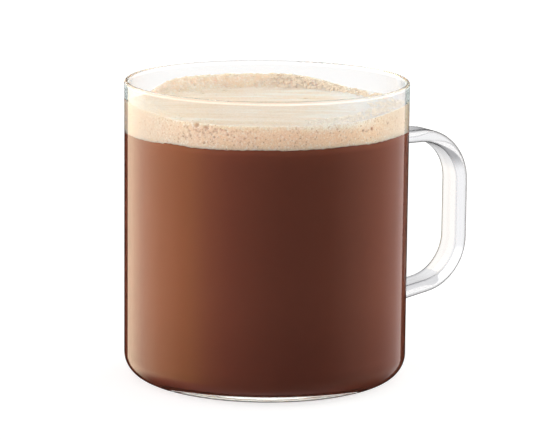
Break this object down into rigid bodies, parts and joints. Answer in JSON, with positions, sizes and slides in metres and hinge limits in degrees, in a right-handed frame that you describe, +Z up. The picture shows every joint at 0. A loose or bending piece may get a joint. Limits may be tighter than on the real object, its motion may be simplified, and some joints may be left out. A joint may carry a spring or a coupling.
{
  "type": "mug of hot chocolate",
  "caption": "Clear glass mug with a strap handle, filled with hot chocolate under a thick layer of milk foam.",
  "frame": {"origin": "centre of the mug's underside, on the axis of its round wall", "axes": "+Z up along the wall's axis, +X towards the handle, +Y to the side of the handle's plane"},
  "size_m": [0.116, 0.088, 0.0927],
  "materials": {
    "glass": "clear, fire-polished",
    "chocolate": null,
    "foam": null
  },
  "bodies": {
    "root": {"mug": "glass", "chocolate": "chocolate", "foam": "foam"}
  },
  "joints": []
}
